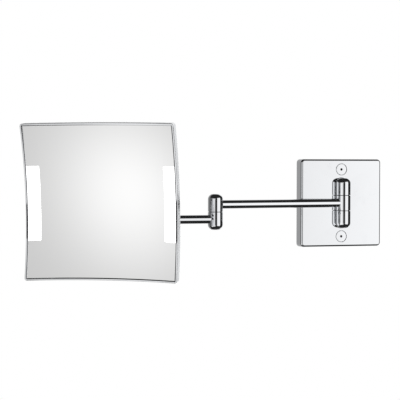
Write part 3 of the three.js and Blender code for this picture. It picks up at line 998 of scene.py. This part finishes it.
def swung(x, z):
    # from the middle of the head, about the centre of curvature, out to a point on it
    radius = layout["curve"]
    turn = turnZ(-math.asin(x / radius)) @ turnX(math.asin(z / radius))
    return Matrix.Translation((0, -radius, 0)) @ turn @ Matrix.Translation((0, radius, 0))


def flatSheet(name, halfWide, halfTall, depth, columns, rows, middle=(0, 0)):
    putAside()
    bpy.ops.mesh.primitive_grid_add(x_subdivisions=columns, y_subdivisions=rows, size=1)
    piece = newest(name)
    piece.scale = (2 * halfWide, 2 * halfTall, 1)
    piece.rotation_euler = (math.radians(90), 0, 0)
    piece.location = (middle[0], depth, middle[1])
    bpy.ops.object.transform_apply(location=True, rotation=True, scale=True)
    return piece


def roundCorners(piece, halfWide, halfTall, radius, middle=(0, 0), segments=6):
    startEdit(piece)
    pick(piece, "VERT", lambda spot: abs(abs(spot.x - middle[0]) - halfWide) < 1e-6
         and abs(abs(spot.z - middle[1]) - halfTall) < 1e-6)
    bpy.ops.mesh.bevel(
        offset=radius, offset_type="OFFSET", segments=segments, profile=0.5, affect="VERTICES")
    endEdit()


def thicken(piece, thickness):
    startEdit(piece, "FACE")
    bpy.ops.mesh.select_all(action="SELECT")
    bpy.ops.mesh.extrude_region_move(TRANSFORM_OT_translate={"value": (0, thickness, 0)})
    endEdit()
    tidyMesh(piece)


def onOutline(ends, half, corner):
    return all(offOutline(end, half, half, corner) < 0.02 * mm for end in ends)


def makeHeadFrame():
    h = head
    rim = flatSheet("headFrame", h["half"], h["half"], h["lipFront"], h["cells"], h["cells"])
    roundCorners(rim, h["half"], h["half"], h["corner"])
    startEdit(rim, "FACE")
    bpy.ops.mesh.select_all(action="SELECT")
    for width in (h["wall"], h["lip"] - h["wall"] - 0.01 * mm):
        bpy.ops.mesh.inset(thickness=width, depth=0, use_boundary=True, use_even_offset=True)
    bpy.ops.mesh.delete(type="FACE")
    bpy.ops.mesh.select_all(action="SELECT")
    bpy.ops.mesh.remove_doubles(threshold=0.03 * mm)
    bpy.ops.mesh.select_all(action="SELECT")
    bpy.ops.mesh.extrude_region_move(
        TRANSFORM_OT_translate={"value": (0, h["lipBack"] - h["lipFront"], 0)})
    inner = h["half"] - h["wall"]
    innerCorner = h["corner"] - h["wall"]

    def outerBack(centre, normal):
        x = max(abs(centre.x) - inner + innerCorner, 0)
        z = max(abs(centre.z) - inner + innerCorner, 0)
        return (abs(centre.y - h["lipBack"]) < same and abs(normal.y) > 0.9
                and math.hypot(x, z) > innerCorner)

    pick(rim, "FACE", outerBack)
    bpy.ops.mesh.extrude_region_move(
        TRANSFORM_OT_translate={"value": (0, h["wallBack"] - h["lipBack"], 0)})
    endEdit()
    tidyMesh(rim)
    front = h["lipFront"] + same
    lipInner = h["half"] - h["lip"] + 0.1 * mm

    def outerFront(a, b):
        return a.y < front and b.y < front and onOutline((a, b), h["half"], h["corner"])

    def innerFront(a, b):
        return all(end.y < front and max(abs(end.x), abs(end.z)) < lipInner for end in (a, b))

    softenEdges(rim, outerFront, h["frameEdge"], 6)
    softenEdges(rim, innerFront, h["lipEdge"], 3)
    pressToDish(rim)
    handOver(settle(rim, headFrame), "mirror_head", "chrome", "head_frame")
    toHead = headFrame.inverted()

    def onSideWall(centre, normal):
        spot = toHead @ centre
        return (max(abs(spot.x), abs(spot.z)) > h["half"] - 0.6 * mm
                and abs((toHead.to_3x3() @ normal).y) < 0.3)

    refinish(rim, "satinChrome", onSideWall)


def makeMirrorGlass():
    h = head
    half = h["glassHalf"]
    glass = flatSheet("mirrorGlass", half, half, 0, h["glassCells"], h["glassCells"])
    roundCorners(glass, half, half, h["glassCorner"])
    edge = h["windowInner"]
    drop = h["windowDrop"]
    tall = h["windowHalf"] + layout["clearance"]
    startEdit(glass, "FACE")
    for place, normal in (((edge, 0, 0), (1, 0, 0)), ((-edge, 0, 0), (1, 0, 0)),
                          ((0, 0, tall - drop), (0, 0, 1)), ((0, 0, -tall - drop), (0, 0, 1))):
        bpy.ops.mesh.select_all(action="SELECT")
        bpy.ops.mesh.bisect(plane_co=place, plane_no=normal)
    pick(glass, "FACE", lambda centre, normal: abs(centre.x) > edge and abs(centre.z + drop) < tall)
    bpy.ops.mesh.delete(type="FACE")
    endEdit()
    thicken(glass, h["glassThickness"])
    pressToDish(glass)
    handOver(settle(glass, headFrame), "mirror_head", "mirror_glass", "mirror_glass")


def makeLightWindows():
    h = head
    inner = h["windowInner"] + layout["clearance"]
    half = (h["glassHalf"] - inner) / 2
    for where, side in (("left", -1), ("right", 1)):
        middle = (side * (inner + half), -h["windowDrop"])
        window = flatSheet(
            "lightWindow_" + where, half, h["windowHalf"], 0, *h["windowCells"], middle)
        roundCorners(window, half, h["windowHalf"], h["windowCorner"], middle, 3)
        thicken(window, h["glassThickness"])
        pressToDish(window)
        handOver(settle(window, headFrame), "mirror_head", "satin_window", "light_window_" + where)


def makeRearCover():
    h = head
    half = h["half"] - layout["clearance"]
    cover = flatSheet("rearCover", half, half, h["coverFront"], h["cells"], h["cells"])
    roundCorners(cover, half, half, h["corner"])
    thicken(cover, h["coverBack"] - h["coverFront"])
    back = h["coverBack"] - same
    softenEdges(cover, lambda a, b: a.y > back and b.y > back
                and onOutline((a, b), half, h["corner"]), h["coverEdge"], 4)
    pressToDish(cover)
    handOver(settle(cover, headFrame), "mirror_head", "chrome", "rear_cover")


smallScrews = {
    "shank": 1.5 * mm,
    "head": 3 * mm,
    "height": 1.2 * mm,
    "socket": 1.1 * mm,
    "rear": (0.3 * mm, 6 * mm),       # seat behind the cover's back, and length
    "bracket": (3.6 * mm, 9 * mm),
}


def smallScrew(name, seat, length):
    s = smallScrews
    top = seat + s["height"]
    screw = turnedPiece(name, [
        (0, seat - length, 0), (s["shank"], seat - length, 0.3 * mm), (s["shank"], seat, 0),
        (s["head"], seat, 0.15 * mm), (s["head"], top, 0.6 * mm), (0, top, 0)], 40)
    carve(screw, hexagonTool(s["socket"], top - 0.8 * mm, top + mm))
    return layAlong(screw, "Y")


def copyOf(piece, name):
    made = piece.copy()
    made.data = piece.data.copy()
    made.name = name
    made.data.name = name
    bpy.context.scene.collection.objects.link(made)
    return made


def makeHeadScrews():
    h = head
    s = smallScrews
    for name, node, offset, seat, length in (
            ("rearCoverScrew", "rear_cover_screw_", h["rearScrews"], *s["rear"]),
            ("bracketScrew", "bracket_screw_", h["bracketScrews"], *s["bracket"])):
        first = smallScrew(name + "_1", h["coverBack"] + seat, length)
        screws = [first] + [copyOf(first, f"{name}_{count}") for count in (2, 3, 4)]
        corners = [(-offset, offset), (offset, offset), (offset, -offset), (-offset, -offset)]
        for count, (screw, (x, z)) in enumerate(zip(screws, corners), 1):
            settle(screw, headFrame @ swung(x, z))
            handOver(screw, "mirror_head", "bright_steel", node + str(count))
    grommet = turnedPiece("headGrommet", [
        (2.4 * mm, 10.6 * mm, 0), (4 * mm, 10.6 * mm, 0), (4 * mm, 12.2 * mm, 0),
        (5.6 * mm, 12.2 * mm, 0), (5.6 * mm, 13.5 * mm, 0.5 * mm), (2.4 * mm, 13.5 * mm, 0.5 * mm),
        (2.4 * mm, 10.6 * mm, 0)], 48)
    settle(layAlong(grommet, "Y"), headFrame @ swung(h["leadHole"], 0))
    handOver(grommet, "mirror_head", "rubber", "head_grommet")


makeHeadFrame()
makeMirrorGlass()
makeLightWindows()
makeRearCover()
makeHeadScrews()
print("head made")

hinge = {
    "height": 31 * mm,         # tilt axis above the mirror arm's axis
    "barrelRadius": 8 * mm,
    "barrelHalf": 8.3 * mm,
    "neck": 6 * mm,
    "pinRadius": 3 * mm,
    "earGap": 9.1 * mm,
    "earThickness": 5 * mm,
    "earHalf": 7 * mm,
    "flangeRadius": 23 * mm,
    "flangeThickness": 3 * mm,
    "washerHalf": 0.25 * mm,
}


def makeTiltPost():
    h = hinge
    low = (layout["armDrop"] + knuckle["parting"]) / 2
    shoulder = h["height"] - h["barrelRadius"] - 3.5 * mm
    base = turnedPiece("postBase", [
        (knuckle["bore"], low, 0), (knuckle["radius"], low, knuckle["edge"]),
        (knuckle["radius"], shoulder, 3.6 * mm), (h["neck"], shoulder, 1.6 * mm),
        (h["neck"], h["height"] - 2 * mm, 0), (0, h["height"] - 2 * mm, 0), (0, low + 9 * mm, 0),
        (knuckle["bore"], low + 9 * mm, 0), (knuckle["bore"], low, 0)])
    bore = h["pinRadius"] + 0.1 * mm
    half = h["barrelHalf"]
    barrel = turnedPiece("postBarrel", [
        (bore, -half, 0), (h["barrelRadius"], -half, 0.5 * mm), (h["barrelRadius"], half, 0.5 * mm),
        (bore, half, 0), (bore, -half, 0)])
    layAlong(barrel, "X")
    settle(barrel, Matrix.Translation((0, 0, h["height"])))
    post = joined("tiltPost", base, barrel)
    handOver(settle(post, postFrame), "tilt_post", "chrome", "tilt_post")
    screw = pivotScrew(
        "headPivotScrew", -knuckle["above"], layout["armDrop"] / 2 + pivot["headReach"])
    handOver(settle(screw, postFrame), "tilt_post", "bright_steel", "head_pivot_screw")


def makeTiltPin():
    h = hinge
    face = h["earGap"] + h["earThickness"] + 0.3 * mm
    pin = turnedPiece("tiltPin", [
        (0, -face - 3 * mm, 0), (4.2 * mm, -face - 3 * mm, 2.2 * mm), (5.8 * mm, -face, 0.2 * mm),
        (h["pinRadius"], -face, 0), (h["pinRadius"], face + 3.5 * mm, 0.4 * mm),
        (0, face + 3.5 * mm, 0)], 56)
    handOver(settle(layAlong(pin, "X"), tiltFrame), "mirror_head", "chrome", "tilt_pin")
    bore = h["pinRadius"] + 0.15 * mm
    nut = turnedPiece("tiltNut", [
        (0, face + 4.2 * mm, 0), (bore, face + 4.2 * mm, 0), (bore, face, 0),
        (5.8 * mm, face, 0.3 * mm),
        (5.8 * mm, face + 2.6 * mm, 0.6 * mm), (4.6 * mm, face + 4.6 * mm, 0.8 * mm),
        (2.6 * mm, face + 6 * mm, 1.4 * mm), (0, face + 6 * mm, 0)], 56)
    handOver(settle(layAlong(nut, "X"), tiltFrame), "mirror_head", "chrome", "tilt_nut")
    middle = (h["barrelHalf"] + h["earGap"]) / 2
    for where, side in (("left", -1), ("right", 1)):
        low = side * middle - h["washerHalf"]
        high = side * middle + h["washerHalf"]
        washer = turnedPiece("tiltWasher_" + where, [
            (3.1 * mm, low, 0), (7 * mm, low, 0.1 * mm), (7 * mm, high, 0.1 * mm),
            (3.1 * mm, high, 0), (3.1 * mm, low, 0)], 48)
        settle(layAlong(washer, "X"), tiltFrame)
        handOver(washer, "mirror_head", "nylon", "tilt_washer_" + where)


def makeHingeBracket():
    h = hinge
    front = head["coverBack"] + 0.3 * mm
    back = front + h["flangeThickness"]
    radii = [0, 5 * mm, 10 * mm, 15 * mm, 19 * mm]
    flange = turnedPiece("bracketFlange", [
        *[(radius, front, 0) for radius in radii], (h["flangeRadius"], front, 0),
        (h["flangeRadius"], back, 0.9 * mm), *[(radius, back, 0) for radius in reversed(radii)]])
    layAlong(flange, "Y")
    pressToDish(flange)
    ears = []
    axis = layout["tiltSetback"]
    for side in (-1, 1):
        inner = h["earGap"] if side > 0 else -h["earGap"] - h["earThickness"]
        end = axis + h["earHalf"]
        ear = block("bracketEar", (inner, front + 1.5 * mm, -h["earHalf"]),
                    (inner + h["earThickness"], end, h["earHalf"]))
        softenEdges(ear, lambda a, b: a.y > end - same and b.y > end - same
                    and abs(a.z - b.z) < same / 10, h["earHalf"] - 0.02 * mm, 16)
        softenEdges(ear, lambda a, b: abs(a.x - b.x) < same / 10
                    and max(a.y, b.y) > front + 2 * mm, 0.5 * mm, 3)
        ears.append(ear)
    bracket = joined("hingeBracket", flange, *ears)
    handOver(settle(bracket, headFrame), "mirror_head", "chrome", "hinge_bracket")


makeTiltPost()
makeTiltPin()
makeHingeBracket()
print("tilt hinge made")

studio = {
    "heading": 20.289,         # degrees the camera turns to the right of the wall's normal
    "pitch": 1.355,
    "roll": 0.136,
    "distance": 2.3367,
    "aimRight": -0.02799,
    "aimUp": 0.00142,
    "lens": 162,
    "floorDrop": 0.5,
    "floorRadius": 1.4,
    "floorRings": (0.08, 0.4),
    "lightTarget": (-0.2, -0.1, 0),
}


def makeCamera():
    s = studio
    turn = (turnZ(math.radians(-s["heading"])) @ turnX(math.radians(90 - s["pitch"]))
            @ turnZ(math.radians(s["roll"])))
    right, up, back = (turn.col[index].xyz for index in range(3))
    low, high = (Vector(corner) for corner in cadBox)
    aim = (low + high) / 2 + right * s["aimRight"] + up * s["aimUp"]
    lensData = bpy.data.cameras.new("studioCamera")
    lensData.lens = s["lens"]
    lensData.sensor_width = 36
    lensData.clip_end = 50
    camera = bpy.data.objects.new("studioCamera", lensData)
    camera.matrix_world = Matrix.Translation(aim + back * s["distance"]) @ turn
    bpy.context.scene.collection.objects.link(camera)
    bpy.context.scene.camera = camera
    return right, -back


surroundings = {
    # brightness by degrees from the camera, turning to its right
    "around": (
        (-180, 0.66), (-168, 0.42), (-139, 0.36), (-110, 0.16), (-80, 0.1), (-77, 0.0),
        (23, 0.0), (27, 0.96), (43.5, 0.96), (47, 1.1), (73, 1.1), (78, 0.0),
        (137, 0.0), (143, 0.95), (172, 0.95), (180, 0.66)),
    "belt": 27,                # degrees up and down that are lit
    "beltBehind": 40,
    "key": (-41.4, -15.3),     # heading and rise of the brightest spot, in degrees
    "keyGlow": 0.47,
    "keyFocus": 7.5,
    "panelGlow": 0.664,
    "panelEdge": -59.7,        # heading of the panel's far edge
    "edgeCurve": -0.0137,      # the far edge bends away below this rise
    "curveBelow": -8,
    "notch": (-11.5, 1.2),     # between these rises the panel is narrower
    "notchFar": 5.2,
    "notchNear": 4.4,
    "topSlope": 0.045,
    "ambient": 0.02,
}


def makeStudioWorld(right, ahead):
    # large soft panels around the object, dark between them, seen only in its reflections
    w = surroundings
    world = bpy.data.worlds.new("softStudio")
    bpy.context.scene.world = world
    world.use_nodes = True
    board = Board(world.node_tree)
    direction = board.node("ShaderNodeTexCoord", output="Generated")
    flatAhead = Vector((ahead.x, ahead.y, 0)).normalized()
    flatRight = Vector((right.x, right.y, 0)).normalized()
    toSide = board.along(direction, flatRight)
    toCamera = board.along(direction, -flatAhead)
    heading = toSide.maths("ARCTAN2", toSide, toCamera) * (180 / math.pi)
    height = board.along(direction, (0, 0, 1))
    rise = height.maths("ARCSINE", height) * (180 / math.pi)
    around = board.node("ShaderNodeValToRGB", {"stops": [
        ((degrees + 180) / 360, tone) for degrees, tone in w["around"]]},
        {"Fac": heading / 360 + 0.5})
    behind = heading.maths("ABSOLUTE", heading).fade(105, 125)
    belt = rise.between(-w["belt"], w["belt"], 3).atLeast(
        behind * rise.between(-w["beltBehind"], w["beltBehind"], 5))
    keyHeading, keyRise = (math.radians(degrees) for degrees in w["key"])
    keyFlat = flatRight * math.sin(keyHeading) - flatAhead * math.cos(keyHeading)
    key = keyFlat * math.cos(keyRise) + Vector((0, 0, math.sin(keyRise)))
    glow = board.along(direction, key).atLeast(0) ** w["keyFocus"] * w["keyGlow"] + w["panelGlow"]
    level = rise.between(*w["notch"], 0.8)
    bend = (w["curveBelow"] - rise).atLeast(0) ** 2 * w["edgeCurve"]
    farEdge = bend + w["panelEdge"] + level * w["notchFar"]
    panel = (heading - farEdge).fade(-0.8, 0.3) * (
        1 - (heading + level * w["notchNear"]).fade(-2.2, -0.2))
    panel = panel * (1 - (rise - heading * w["topSlope"]).fade(15.8, 17.2)) * rise.fade(-44, -41)
    strength = (glow * panel).atLeast(around * belt) + w["ambient"]
    soft = board.node("ShaderNodeBackground", None, {"Color": (1, 1, 1, 1), "Strength": strength})
    plain = board.node("ShaderNodeBackground", None, {"Color": (1, 1, 1, 1), "Strength": 1.0})
    seen = board.node("ShaderNodeLightPath", output="Is Camera Ray")
    shown = board.node("ShaderNodeMixShader", None, {0: seen, 1: soft, 2: plain})
    board.node("ShaderNodeOutputWorld", None, {"Surface": shown})


def makeFloor():
    s = studio
    low, high = (Vector(corner) for corner in cadBox)
    putAside()
    bpy.ops.mesh.primitive_circle_add(
        vertices=96, radius=s["floorRadius"], fill_type="NGON",
        location=((low.x + high.x) / 2, (low.y + high.y) / 2, low.z - s["floorDrop"]))
    floor = newest("paleFloor")
    startEdit(floor, "FACE")
    bpy.ops.mesh.select_all(action="SELECT")
    for ring in s["floorRings"]:
        bpy.ops.mesh.inset(thickness=ring, depth=0)
    endEdit()
    made, board, place = newFinish("paleFloor")
    grain = noise(board, place, 60, 4, 0.5)
    closeFinish(board, {
        "Base Color": board.mixColour(
            grain.fade(0.3, 0.7), (0.86, 0.86, 0.86, 1), (0.88, 0.88, 0.88, 1)),
        "Roughness": 0.75,
    })
    floor.data.materials.append(made)
    floor.visible_glossy = False


def softLight(name, place, size, power):
    lamp = bpy.data.lights.new(name, "AREA")
    lamp.size = size
    lamp.energy = power
    holder = bpy.data.objects.new(name, lamp)
    holder.location = place
    aim = Vector(studio["lightTarget"]) - Vector(place)
    holder.rotation_euler = aim.to_track_quat("-Z", "Y").to_euler()
    holder.visible_glossy = False
    bpy.context.scene.collection.objects.link(holder)


cameraRight, cameraAhead = makeCamera()
makeStudioWorld(cameraRight, cameraAhead)
makeFloor()
softLight("overheadLight", (-0.3, -0.3, 1.7), 2.2, 34)
softLight("sideLight", (-1.9, -1.3, 0.7), 1.2, 9)
bpy.context.scene.view_settings.view_transform = "Standard"
bpy.context.scene.view_settings.look = "None"
print("studio made")
